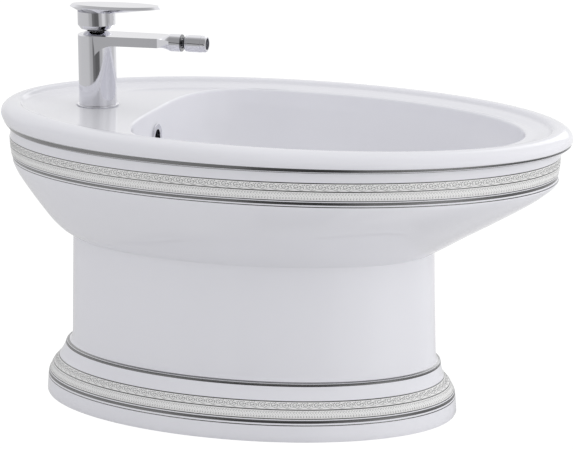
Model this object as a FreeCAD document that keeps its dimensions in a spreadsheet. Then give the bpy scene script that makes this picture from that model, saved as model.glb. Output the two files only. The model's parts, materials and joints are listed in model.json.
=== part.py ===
import FreeCAD, Part
import os
import re
from math import cos, pi, radians, sin
from FreeCAD import Placement, Rotation, Vector

# Floor-standing bidet: one vitreous china casting, a single-lever mixer with a ball-jointed
# nozzle, a click waste and a bottle trap inside the pedestal.
# Millimetres. +Z is up, the front of the bowl faces -Y, the wall is at +Y, and the origin is
# on the floor under the middle of the oval rim.

doc = FreeCAD.newDocument("bidet")
sheet = doc.addObject("Spreadsheet::Sheet", "sizes")

CHINA = {
    "rim_length": 680, "rim_width": 435, "rim_height": 354, "rim_lean": 1.07, "line_shift": -3.5,
    "crest_inset": 18, "lip_drop": 12.6, "lip_depth": 22, "lip_undercut": 4.8,
    "cove_height": 15, "cove_inset": 11.4, "upper_band": 9.3, "lower_band": 14,
    "lower_band_inset": 14.5, "band_shift": 2, "band_step": 1.4, "band_taper": 0.3,
    "column_top": 197.5, "column_length": 441, "column_width": 242, "column_shift": 37,
    "column_taper": 3.4, "column_root": 1.2, "bowl_step": 0.8, "bowl_tuck": 3,
    "bowl_front_bulge": 16, "bowl_rear_bulge": 12, "bowl_side_bulge": 7,
    "bowl_tuck_inset": 0.8, "bowl_wall": 18,
    "foot_length": 505.6, "foot_width": 306.6, "foot_shift": 40.5, "ledge_shift": 38, "foot_round": 2.5,
    "foot_band": 24.5, "base_lower_band": 12.5, "base_upper_band": 7.7, "base_cove": 17.9,
    "foot_band_inset": 2, "base_mid_inset": 8, "base_upper_inset": 15, "base_ledge_inset": 22,
    "ledge_inset": 26, "ledge_rise": 1.5, "ledge_fillet": 12,
    "china_wall": 12, "foot_wall": 26, "deck_thickness": 14, "deck_hollow_gap": 26.4,
    "deck_drop": 9, "deck_inset": 43, "pad_drop": 5.4, "pad_radius": 26,
    "basin_front": 285, "basin_rear": 154.5, "basin_half_width": 170.5, "basin_depth": 162,
    "basin_edge_round": 3, "waste_y": 40, "basin_floor_radius": 35,
    "waste_hole_radius": 23, "boss_radius": 37, "boss_depth": 36,
    "overflow_z": 314, "overflow_hole_radius": 12.7, "overflow_pad_radius": 16.5,
    "overflow_pad_y": 154.6, "channel_radius": 8, "channel_wall": 8, "channel_y": 177,
    "channel_knee": 0.7, "knuckle_length": 27.2,
    "slot_half_width": 21, "slot_height": 60,
}
FITTINGS = {
    "ring_radius": 16, "ring_flange": 2.4, "ring_tube_radius": 12.4, "ring_bore": 9.5,
    "ring_tube": 12,
    "waste_flange_radius": 31.5, "waste_flange": 2.5, "flange_seal": 1.5,
    "waste_thread_radius": 20.9, "waste_bore": 17.5, "waste_tube": 70,
    "overflow_port": 6, "overflow_port_height": 14, "port_top_depth": 12,
    "spoke_width": 3, "spoke_height": 7, "spoke_depth": 14, "hub_radius": 8.2,
    "sleeve_radius": 5.6, "sleeve_length": 22, "sleeve_collar": 2,
    "plug_radius": 26, "plug_thickness": 4.5, "plug_crown": 2, "plug_gap": 8.6,
    "plug_stem_radius": 3, "plug_stem": 28, "plug_seal_radius": 20, "plug_seal_section": 1.6,
    "lower_seal": 7, "slip_washer": 2, "back_nut": 9, "back_nut_radius": 29,
    "seal_radius": 27,
    "tail_nut": 16, "tail_nut_radius": 25, "tail_nut_floor": 4, "tail_washer": 1.5,
    "tail_collar": 2.5, "tail_radius": 16, "tail_wall": 1.5, "tail_bottom": 46,
    "trap_outlet_z": 87, "trap_radius": 31, "trap_wall": 2.6, "trap_head_bottom": 63,
    "trap_head_top": 104, "trap_neck": 7, "trap_neck_radius": 20,
    "trap_nut_radius": 24.5, "inlet_nut": 9.5, "nut_roof": 3, "slip_seal": 3,
    "cup_bottom": 22, "cup_skirt": 14, "cup_skirt_wall": 3, "cup_seal": 2.5,
    "outlet_neck": 24, "outlet_nut": 14, "outlet_end_y": 218, "outlet_insert": 12,
    "outlet_spigot": 40, "outlet_bead": 3, "outlet_bead_radius": 17.5,
}
TAP = {
    "tap_y": 227, "tap_hole_radius": 17.5, "tap_radius": 22.6, "base_ring_radius": 24.8,
    "base_ring": 2.5, "base_ring_bore": 18, "base_gasket": 1.5, "gasket_radius": 21.5,
    "body_top": 435, "body_chamfer": 1, "body_cavity_radius": 19, "body_cavity": 20,
    "cartridge_z": 390, "cartridge_radius": 14, "cartridge_top": 424, "cartridge_seal": 1,
    "nut_radius": 15.5, "nut_top": 432, "nut_bore": 11,
    "dome_radius": 20, "dome_rise": 3.4, "dome_opening": 11.5, "dome_crown": 12.5,
    "pivot_z": 412, "turret_radius": 9.5, "turret_top": 424, "turret_drop": 8,
    "turret_floor": 2.5, "pin_radius": 1.6, "pin_half": 8.5,
    "stem_side": 7, "stem_above": 48, "stem_below": 4.4, "stem_lean": 10,
    "hub_bottom": 441.5, "hub_top": 462, "hub_tap_radius": 22.4, "hub_chamfer": 3.4,
    "hub_chamfer_height": 4.7,
    "plate_reach": 24, "plate_half_length": 57, "plate_half_width": 24.3,
    "plate_root_reach": 9, "plate_root_length": 31.5, "plate_root_width": 20,
    "plate_edge": 5, "plate_top": 3, "plate_top_inset": 3,
    "screw_z": 454, "screw_radius": 2.5, "screw_length": 8, "screw_cap_radius": 2.9,
    "screw_cap": 2.2,
    "spout_half_width": 19.5, "spout_thickness": 11, "spout_reach": 82, "web_radius": 28,
    "spout_root": 1, "spout_step": 0.3,
    "collar_radius": 10.3, "collar_z": 428.3, "collar_start": 93, "collar_end": 106,
    "ball_reach": 101, "ball_radius": 7.6, "socket_radius": 8.6, "socket_behind": 9.2,
    "waterway_radius": 3, "riser_radius": 2.3, "riser_reach": 19, "outlet_reach": 9,
    "link_z": 385.5,
    "retainer_flange": 0.8, "retainer_ahead": 1, "retainer_opening": 6.4,
    "seat_front": 3.9, "seat_length": 5.2, "seat_bore": 4.6, "ball_seal_section": 0.55,
    "ball_neck_radius": 4, "ball_neck_end": 13, "ball_bore": 2.4,
    "shell_start": 8.2, "shell_root_radius": 6.4, "shell_collar_start": 11.2,
    "shell_collar_radius": 9.6, "shell_groove": 13, "shell_groove_width": 0.8,
    "shell_groove_radius": 9.1, "shell_radius": 10, "shell_end": 30,
    "pocket_radius": 8.5, "pocket_start": 16.5, "aerator_washer": 1.5,
    "aerator_washer_bore": 6, "aerator_length": 13.8, "aerator_hole_radius": 0.8,
    "aerator_hole_circle": 4.6, "end_ring_radius": 9.7, "end_ring_step": 2.2,
    "nozzle_end": 36.5, "end_ring_opening": 6.8,
    "stud_radius": 3, "stud_in_body": 8, "stud_offset": 12.5, "stud_spare": 4,
    "deck_washer": 3, "deck_washer_bore": 17, "clamp_plate": 2.5, "clamp_radius": 25,
    "clamp_slot": 14, "clamp_slot_length": 32, "stud_nut": 5, "stud_nut_radius": 5.4,
    "inlet_offset": 8.5, "inlet_radius": 4.5, "port_radius": 2.5,
}
FITS = {"running_gap": 0.3, "fit_gap": 0.06, "overrun": 5}

row = 0
for group in (CHINA, FITTINGS, TAP, FITS):
    for alias, value in group.items():
        row += 1
        sheet.set(f"A{row}", alias)
        sheet.set(f"B{row}", str(value))
        sheet.setAlias(f"B{row}", alias)
doc.recompute()
ALIASES = sorted({**CHINA, **FITTINGS, **TAP, **FITS}, key=len, reverse=True)
WORDS = re.compile(r"\b(" + "|".join(ALIASES) + r")\b")


def size(alias):
    return float(sheet.get(alias))


def bound(formula):
    return WORDS.sub(r"sizes.\1", formula)


def bind(feature, **formulas):
    for field, formula in formulas.items():
        feature.setExpression(field, bound(str(formula)))
    return feature


def place(feature, x="0", y="0", z="0", turn=(0, 0, 0)):
    yaw, pitch, roll = turn
    text = f"placement(vector(({x})*1; ({y})*1; ({z})*1); rotation({yaw}; {pitch}; {roll}))"
    feature.setExpression("Placement", bound(text))
    return feature


def cylinder(name, radius, height, x="0", y="0", z="0", turn=(0, 0, 0)):
    feature = bind(doc.addObject("Part::Cylinder", name), Radius=radius, Height=height)
    return place(feature, x, y, z, turn)


def cone(name, radius1, radius2, height, x="0", y="0", z="0", turn=(0, 0, 0)):
    feature = doc.addObject("Part::Cone", name)
    bind(feature, Radius1=radius1, Radius2=radius2, Height=height)
    return place(feature, x, y, z, turn)


def box(name, length, width, height, x="0", y="0", z="0", turn=(0, 0, 0)):
    feature = bind(doc.addObject("Part::Box", name), Length=length, Width=width, Height=height)
    return place(feature, x, y, z, turn)


def ball(name, radius, x="0", y="0", z="0"):
    return place(bind(doc.addObject("Part::Sphere", name), Radius=radius), x, y, z)


def ring(name, middle, section, x="0", y="0", z="0", turn=(0, 0, 0)):
    feature = bind(doc.addObject("Part::Torus", name), Radius1=middle, Radius2=section)
    return place(feature, x, y, z, turn)


def oval(name, y, z, long_radius, wide_radius, lean="0"):
    feature = doc.addObject("Part::Ellipse", name)
    bind(feature, MajorRadius=long_radius, MinorRadius=wide_radius)
    return place(feature, "0", y, z, (90, f"-({lean})", 0))


def loft(name, sections, ruled=True):
    feature = doc.addObject("Part::Loft", name)
    feature.Sections = sections
    feature.Solid = True
    feature.Ruled = ruled
    return feature


def fuse(name, shapes):
    feature = doc.addObject("Part::MultiFuse", name)
    feature.Shapes = shapes
    return feature


def cut(name, base, *tools):
    for number, tool in enumerate(tools):
        feature = doc.addObject("Part::Cut", f"{name}_{number}")
        feature.Base = base
        feature.Tool = tool
        feature.Refine = False
        base = feature
    return base


def common(name, first, second):
    feature = doc.addObject("Part::MultiCommon", name)
    feature.Shapes = [first, second]
    return feature


# the nozzle's parts lie along a level axis that points forward from the spout
FORWARD = (0, 0, 90)


def turned(name, steps, bores=(), y="tap_y", z=None):
    """Round steps on one axis, less round bores: each is (radius, start, end) or, tapered,
    (radius, start, end, end radius). Upright, or forward from y at height z."""
    parts = []
    for kind, rows in (("step", steps), ("bore", bores)):
        made = []
        for number, line in enumerate(rows):
            radius, start, end = line[:3]
            far = line[3] if len(line) > 3 else None
            spot = ("0", y, start) if z is None else ("0", f"{y}-({start})", z)
            turn = (0, 0, 0) if z is None else FORWARD
            label = f"{name}_{kind}_{number}"
            height = f"({end})-({start})"
            if far is None:
                made.append(cylinder(label, radius, height, *spot, turn))
            else:
                made.append(cone(label, radius, far, height, *spot, turn))
        parts.append(made)
    steps_made, bores_made = parts
    body = steps_made[0] if len(steps_made) == 1 else fuse(f"{name}_steps", steps_made)
    if not bores_made:
        return body
    inside = bores_made[0] if len(bores_made) == 1 else fuse(f"{name}_bores", bores_made)
    return cut(f"{name}_turned", body, inside)


NODES = {}


def node(name, feature):
    feature.Label = name
    NODES[name] = feature
    return feature


# the china casting: heights that its sections share
LINE_Z = "(rim_height-lip_depth)"
COVE_Z = f"({LINE_Z}-cove_height)"
BAND_Z = f"({COVE_Z}-upper_band)"
CONE_Z = f"({BAND_Z}-lower_band)"
DECK_Z = "(rim_height-deck_drop)"
PAD_Z = "(rim_height-pad_drop)"
UNDER_Z = "(rim_height-pad_drop-deck_thickness)"
FLOOR_Z = "(rim_height-basin_depth)"
BOSS_Z = "(rim_height-basin_depth-boss_depth)"
LEDGE_Z = "(foot_band+base_lower_band+base_upper_band+base_cove)"
RIM_A = "rim_length/2"
RIM_B = "rim_width/2"
FOOT_A = "foot_length/2"
FOOT_B = "foot_width/2"
COLUMN_A = "column_length/2"
COLUMN_B = "column_width/2"
LIP_UNDER_SHARE = 0.3
LIP_ARC_SHARES = (0, 0.25, 0.5, 0.75, 1)
LIP_ROOT_LEAN_SHARE = 0.8
BAND_ROUND_SHARE = 0.3
COVE_MIDDLE_SHARE = 0.6
COLUMN_ROOT_SHARE = 0.4
DISH_RISE_SHARES = (0, 0.5, 0.85, 1.05)
DISH_SPREAD_SHARES = (0, 0.56, 0.8, 1)
CHANNEL_REACH_SHARES = (1, 1, 0.87, 0.62)
CHANNEL_DROP_SHARES = (0, 0.37, 0.68, 1)
SKIRT_UNDER_SHARE = 0.6
AERATOR_HOLES = 6
BOWL_HEIGHT_SHARES = (0, 0.08, 0.25, 0.5, 0.75, 0.92, 1)
BOWL_FRONT_SHARES = (0, 0.15, 0.35, 0.75, 1, 0.75, 0)
BOWL_REAR_SHARES = (0, 0.7, 1, 0.95, 0.8, 0.45, 0)
BOWL_SIDE_SHARES = (0, 0.25, 0.7, 1, 0.9, 0.5, 0)


def inset_oval(name, y, z, inset, lean="0", a=RIM_A, b=RIM_B):
    return oval(name, y, z, f"{a}-({inset})", f"{b}-({inset})", lean)


def lip():
    """The rolled lip, from the line under it, out to its widest and round to the crest."""
    share = LIP_UNDER_SHARE
    sections = [
        inset_oval("lip_root", "line_shift", LINE_Z, "lip_undercut"),
        inset_oval("lip_under", f"line_shift*{share}", f"{LINE_Z}+(lip_depth-lip_drop)*{share}",
                   f"lip_undercut*{share}", f"rim_lean*{share}"),
    ]
    for share in LIP_ARC_SHARES:
        angle = share * pi / 2
        out, up = round(1 - cos(angle), 4), round(1 - sin(angle), 4)
        lean = LIP_ROOT_LEAN_SHARE + (1 - LIP_ROOT_LEAN_SHARE) * share
        sections.append(inset_oval(f"lip_arc_{round(share * 100)}", "0", f"rim_height-lip_drop*{up}",
                                   f"crest_inset*{out}", f"rim_lean*{lean}"))
    return loft("lip_form", sections)


def bands():
    """Cove and two raised bands under the lip."""
    return loft("band_form", [
        inset_oval("band_low", "band_shift", CONE_Z, "lower_band_inset"),
        inset_oval("band_round", "band_shift", f"{CONE_Z}+lower_band*{BAND_ROUND_SHARE}",
                   "lower_band_inset-band_step"),
        inset_oval("band_mid", "band_shift", BAND_Z, "cove_inset"),
        inset_oval("band_top", "band_shift", COVE_Z, "cove_inset+band_taper"),
        inset_oval("cove_middle", "(band_shift+line_shift)/2", f"{COVE_Z}+cove_height*{COVE_MIDDLE_SHARE}",
                   "cove_inset-band_taper*3"),
        inset_oval("cove_top", "line_shift", LINE_Z, "lip_undercut"),
    ])


def bowl_underside(name, inset, steps):
    """From the column's head up to the bands: full low down at the back, and high up in front."""
    sections = []
    for number in steps:
        up = BOWL_HEIGHT_SHARES[number]
        front = f"bowl_front_bulge*{BOWL_FRONT_SHARES[number]}"
        rear = f"bowl_rear_bulge*{BOWL_REAR_SHARES[number]}"
        side = f"bowl_side_bulge*{BOWL_SIDE_SHARES[number]}"
        y = f"column_shift+(band_shift-column_shift)*{up}+({rear}-{front})/2"
        z = f"column_top+({CONE_Z}-column_top)*{up}"
        a = f"{COLUMN_A}+({RIM_A}-lower_band_inset-{COLUMN_A})*{up}+({rear}+{front})/2-{inset}"
        b = f"{COLUMN_B}+({RIM_B}-lower_band_inset-{COLUMN_B})*{up}+{side}-{inset}"
        sections.append(oval(f"{name}_{number}", y, z, a, b))
    return sections


def bowl():
    """The underside, a small step outside the column below and tucked a little into the bands above."""
    column = oval("bowl_foot", "column_shift", "column_top", f"{COLUMN_A}+bowl_step", f"{COLUMN_B}+bowl_step")
    top = inset_oval("bowl_head", "band_shift", f"{CONE_Z}+bowl_tuck",
                     "lower_band_inset+bowl_tuck_inset")
    return loft("bowl_form", [column, *bowl_underside("bowl", "0", range(1, 6)), top], ruled=False)


def pedestal():
    """Flared foot with its own bands, ledge and the oval column."""
    foot = lambda name, z, inset, y="foot_shift": inset_oval(name, y, z, inset, "0", FOOT_A, FOOT_B)
    column = lambda name, z, grow="0": oval(name, "column_shift", z, f"{COLUMN_A}+{grow}",
                                            f"{COLUMN_B}+({grow})/2")
    return loft("pedestal_form", [
        foot("foot_bottom", "0", "foot_round"),
        foot("foot_edge", "foot_round", "0"),
        foot("foot_line", "foot_band", "foot_band_inset"),
        foot("base_mid_line", "foot_band+base_lower_band", "base_mid_inset"),
        foot("base_upper_line", "foot_band+base_lower_band+base_upper_band", "base_upper_inset"),
        foot("ledge_line", LEDGE_Z, "base_ledge_inset", "ledge_shift"),
        foot("ledge_top", f"{LEDGE_Z}+ledge_rise", "ledge_inset", "ledge_shift"),
        column("column_root", f"{LEDGE_Z}+ledge_fillet*{COLUMN_ROOT_SHARE}", "column_taper+column_root"),
        column("column_low", f"{LEDGE_Z}+ledge_fillet", "column_taper"),
        column("column_head", "column_top"),
    ])


BASIN_DEPTH_SHARES = (0, 0.03, 0.25, 0.5, 0.7, 0.86, 0.955, 1)
BASIN_SPREAD_SHARES = (1, 1, 0.965, 0.87, 0.72, 0.5, 0.25, 0)
BASIN_REAR_SHARES = (1, 1, 0.99, 0.93, 0.8, 0.57, 0.28, 0)
BASIN_SQUARENESS = (3.6, 3.6, 3.4, 3, 2.6, 2.3, 2.1, 2)
RING_POINTS = 40


def basin_ring(name, number, grow=0.0, lift=0.0):
    """One level of the basin: half an ellipse in front, and a squarer half towards the deck.
    The top leans with the rim and the floor is level."""
    depth, spread, rear = (BASIN_DEPTH_SHARES[number], BASIN_SPREAD_SHARES[number],
                           BASIN_REAR_SHARES[number])
    floor = size("basin_floor_radius")
    waste = size("waste_y")
    middle = waste * (1 - spread)
    front = middle - waste + floor + (size("basin_front") + waste - floor) * spread + grow
    back = waste + floor + (size("basin_rear") - waste - floor) * rear - middle + grow
    side = floor + (size("basin_half_width") - floor) * spread + grow
    power = 2 / BASIN_SQUARENESS[number]
    top = size("rim_height") - size("deck_drop") - size("basin_edge_round")
    z = top - (top - size("rim_height") + size("basin_depth") + grow) * depth + lift
    lean = radians(size("rim_lean")) * (1 - depth)
    points = []
    for step in range(RING_POINTS):
        angle = 2 * pi * step / RING_POINTS
        east, north = cos(angle), sin(angle)
        if north <= 0:
            x, y = side * east, middle + front * north
        else:
            x = side * abs(east) ** power * (1 if east > 0 else -1)
            y = middle + back * north ** power
        points.append(Vector(x, y, z + y * lean))
    curve = Part.BSplineCurve()
    curve.interpolate(points, PeriodicFlag=True)
    feature = doc.addObject("Part::Feature", name)
    feature.Shape = Part.Wire(curve.toShape())
    return feature


MOUTH_SHARES = ((0, 0), (0.3, 0.7), (1, 1))


def basin_mouth():
    """The basin's rounded edge, opened out through the deck and above the lip."""
    rings = []
    for number, (out, up) in enumerate(MOUTH_SHARES):
        rings.append(basin_ring(f"mouth_{number}", 0, size("basin_edge_round") * out,
                                size("basin_edge_round") * up))
    rings.append(basin_ring("mouth_over", 0, size("basin_edge_round"),
                            size("basin_edge_round") + size("deck_drop") + size("lip_drop")))
    return loft("mouth_form", rings)


def pipe_run(name, points, radius):
    """Straight round legs, with a slightly fuller ball at each corner between them."""
    pieces = []
    for start, end in zip(points[:-1], points[1:]):
        leg = end - start
        pieces.append(Part.makeCylinder(radius, leg.Length, start, leg))
    pieces += [Part.makeSphere(radius + size("channel_knee"), corner) for corner in points[1:-1]]
    features = []
    for number, piece in enumerate(pieces):
        feature = doc.addObject("Part::Feature", f"{name}_{number}")
        feature.Shape = piece
        features.append(feature)
    return features


def china():
    outside = fuse("outer_form", [pedestal(), bowl(), bands(), lip()])

    # the basin with the wall round it, the waste boss and the overflow channel
    levels = range(len(BASIN_DEPTH_SHARES))
    basin = loft("basin_form", [basin_ring(f"basin_{n}", n) for n in levels], ruled=False)
    skin = loft("basin_skin", [basin_ring(f"skin_{n}", n, size("china_wall")) for n in levels], ruled=False)
    boss = cylinder("waste_boss", "boss_radius", "boss_depth", "0", "waste_y", BOSS_Z)
    floor_z = size("rim_height") - size("basin_depth") - size("china_wall")
    drop = size("overflow_z") - floor_z - size("channel_knee") * 6
    route = [Vector(0, size("channel_y") * reach, size("overflow_z") - drop * share)
             for reach, share in zip(CHANNEL_REACH_SHARES, CHANNEL_DROP_SHARES)]
    route.append(Vector(0, size("waste_y") + size("channel_radius"), floor_z - size("channel_radius")))
    rib = pipe_run("channel_rib", route, size("channel_radius") + size("channel_wall"))
    channel = pipe_run("channel_bore", route, size("channel_radius"))
    knuckle = cylinder("overflow_knuckle", "overflow_hole_radius+channel_wall", "knuckle_length",
                       "0", "channel_y+channel_radius+channel_wall", "overflow_z", FORWARD)
    kept = [skin, boss, knuckle, *rib]

    # the hollow that the casting leaves behind its skin, in three parts
    column_skin = (f"{COLUMN_A}-china_wall", f"{COLUMN_B}-china_wall")
    low = loft("hollow_low", [
        inset_oval("hollow_foot", "foot_shift", "-overrun", "foot_wall", "0", FOOT_A, FOOT_B),
        inset_oval("hollow_foot_top", "foot_shift", "foot_band", "foot_wall", "0", FOOT_A, FOOT_B),
        oval("hollow_column", "column_shift", f"{LEDGE_Z}+ledge_fillet", *column_skin),
        oval("hollow_head", "column_shift", "column_top", *column_skin),
    ])
    middle = loft("hollow_middle", [oval("hollow_head_top", "column_shift", "column_top", *column_skin),
                                    *bowl_underside("hollow_bowl", "bowl_wall", (1, 3, 5, 6))])
    high = loft("hollow_high", [
        inset_oval("hollow_band", "band_shift", CONE_Z, "lower_band_inset+bowl_wall"),
        inset_oval("hollow_deck", "0", UNDER_Z, "cove_inset+china_wall"),
    ])
    deck_side = box("deck_side", "rim_width", "rim_length/2", "rim_height", "-rim_width/2",
                    "basin_rear+deck_hollow_gap", "0")
    hollows = [cut("low_void", low, *kept), cut("bowl_void", middle, *kept),
               cut("deck_void", common("deck_hollow", high, deck_side), *kept)]

    # the dish inside the lip, then the holes
    rises = [inset_oval(f"dish_{round(rise * 100)}", "0", f"{DECK_Z}+deck_drop*{rise}",
                        f"deck_inset-(deck_inset-crest_inset)*{spread}", "rim_lean")
             for rise, spread in zip(DISH_RISE_SHARES, DISH_SPREAD_SHARES)]
    over = inset_oval("dish_over", "0", "rim_height+lip_drop", "crest_inset-overrun", "rim_lean")
    dish = loft("dish_form", [*rises, over])
    tap_pad = cylinder("tap_pad", "pad_radius", "lip_drop*2", "0", "tap_y", PAD_Z)
    tap_hole = cylinder("tap_hole", "tap_hole_radius", "deck_thickness+overrun*2", "0", "tap_y",
                        f"{UNDER_Z}-overrun")
    waste_hole = cylinder("waste_hole", "waste_hole_radius", "boss_depth+overrun*2", "0", "waste_y",
                          f"{BOSS_Z}-overrun")
    overflow_hole = cylinder("overflow_hole", "overflow_hole_radius", "channel_y-overflow_pad_y+overrun",
                             "0", "channel_y", "overflow_z", FORWARD)
    overflow_pad = cylinder("overflow_pad", "overflow_pad_radius", "overrun", "0", "overflow_pad_y",
                            "overflow_z", FORWARD)
    slot_y = "column_shift+column_length/2+overrun"
    slot = [
        cylinder("slot_low", "slot_half_width", "column_length/4", "0", slot_y, "trap_outlet_z", FORWARD),
        cylinder("slot_high", "slot_half_width", "column_length/4", "0", slot_y,
                 "trap_outlet_z+slot_height", FORWARD),
        box("slot_middle", "slot_half_width*2", "column_length/4", "slot_height", "-slot_half_width",
            "column_shift+column_length/4+overrun", "trap_outlet_z"),
    ]
    node("china_body", cut("china", outside, *hollows, dish, basin, basin_mouth(), tap_pad, tap_hole,
                           waste_hole, overflow_hole, overflow_pad, *channel, *slot))


FLANGE_Z = f"({FLOOR_Z}+flange_seal)"
FLANGE_TOP = f"({FLOOR_Z}+flange_seal+waste_flange)"
TUBE_Z = f"({FLANGE_TOP}-waste_tube)"
HUB_Z = f"({FLANGE_TOP}-spoke_depth-spoke_height)"
PLUG_Z = f"({FLANGE_TOP}+plug_gap)"
SEAL_Z = f"({BOSS_Z}-lower_seal)"
SLIP_Z = f"({SEAL_Z}-slip_washer)"
BACK_NUT_Z = f"({SLIP_Z}-back_nut)"
COLLAR_Z = f"({TUBE_Z}-tail_washer-tail_collar)"


def hexagon(name, radius, height, x, y, z):
    feature = doc.addObject("Part::Prism", name)
    feature.Polygon = 6
    bind(feature, Circumradius=radius, Height=height)
    return place(feature, x, y, z)


def overflow_fitting():
    node("overflow_ring", turned("overflow_ring", [
        ("ring_radius", "0", "ring_flange"),
        ("ring_tube_radius", "-ring_tube", "0"),
    ], [("ring_bore", "-ring_tube-overrun", "ring_flange+overrun")], "overflow_pad_y", "overflow_z"))


def waste_fitting():
    at = "waste_y"
    tube = turned("waste_tube", [
        ("waste_flange_radius", FLANGE_Z, FLANGE_TOP),
        ("waste_thread_radius", TUBE_Z, FLANGE_TOP),
    ], [
        ("waste_bore", f"{TUBE_Z}-overrun", f"{FLANGE_TOP}+overrun"),
        ("waste_bore", FLANGE_Z, FLANGE_TOP, "waste_bore+waste_flange"),
    ], at)
    port = box("overflow_ports", "overflow_port", "waste_thread_radius*2+overrun*2", "overflow_port_height",
               "-overflow_port/2", "waste_y-waste_thread_radius-overrun",
               f"{FLANGE_TOP}-port_top_depth-overflow_port_height")
    bar = box("waste_bar", "waste_bore*2+spoke_width", "spoke_width", "spoke_height",
              "-waste_bore-spoke_width/2", "waste_y-spoke_width/2", HUB_Z)
    hub = cylinder("waste_hub", "hub_radius", "spoke_height", "0", at, HUB_Z)
    body = fuse("waste_flange_solid", [cut("waste_ported", tube, port), bar, hub])
    node("waste_flange", cut("waste_flange_bored", body,
                             cylinder("hub_bore", "sleeve_radius", "spoke_height+overrun*2", "0", at,
                                      f"{HUB_Z}-overrun")))
    node("flange_seal_ring", turned("flange_seal_ring", [("waste_flange_radius", FLOOR_Z, FLANGE_Z)],
                                    [("waste_thread_radius+fit_gap", f"{FLOOR_Z}-overrun",
                                      f"{FLANGE_Z}+overrun")], at))
    sleeve_z = f"({HUB_Z}+spoke_height+sleeve_collar-sleeve_length)"
    node("click_cartridge", turned("click_cartridge", [
        ("sleeve_radius", sleeve_z, f"{sleeve_z}+sleeve_length"),
        ("hub_radius", f"{HUB_Z}+spoke_height", f"{HUB_Z}+spoke_height+sleeve_collar"),
    ], [("plug_stem_radius+fit_gap", f"{sleeve_z}-overrun", f"{sleeve_z}+sleeve_length+overrun")], at))
    node("plug_cap", turned("plug_cap", [
        ("plug_radius", PLUG_Z, f"{PLUG_Z}+plug_thickness"),
        ("plug_radius", f"{PLUG_Z}+plug_thickness", f"{PLUG_Z}+plug_thickness+plug_crown",
         "plug_radius-plug_crown*2"),
    ], (), at))
    node("plug_seal", turned("plug_seal", [("plug_seal_radius+plug_seal_section",
                                            f"{PLUG_Z}-plug_seal_section", PLUG_Z)],
                             [("plug_seal_radius-plug_seal_section", f"{PLUG_Z}-overrun",
                               f"{PLUG_Z}+overrun")], at))
    node("plug_stem_rod", turned("plug_stem_rod", [("plug_stem_radius", f"{PLUG_Z}-plug_stem", PLUG_Z)],
                                 (), at))
    bore = "waste_thread_radius+fit_gap"
    node("waste_lower_seal", turned("waste_lower_seal", [("seal_radius", SEAL_Z, BOSS_Z)],
                                    [(bore, f"{SEAL_Z}-overrun", f"{BOSS_Z}+overrun")], at))
    node("waste_slip_washer", turned("waste_slip_washer", [("seal_radius", SLIP_Z, SEAL_Z)],
                                     [(bore, f"{SLIP_Z}-overrun", f"{SEAL_Z}+overrun")], at))
    node("waste_back_nut", cut("back_nut_bored",
                               hexagon("back_nut_block", "back_nut_radius", "back_nut", "0", at, BACK_NUT_Z),
                               cylinder("back_nut_bore", bore, "back_nut+overrun*2", "0", at,
                                        f"{BACK_NUT_Z}-overrun")))


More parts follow.
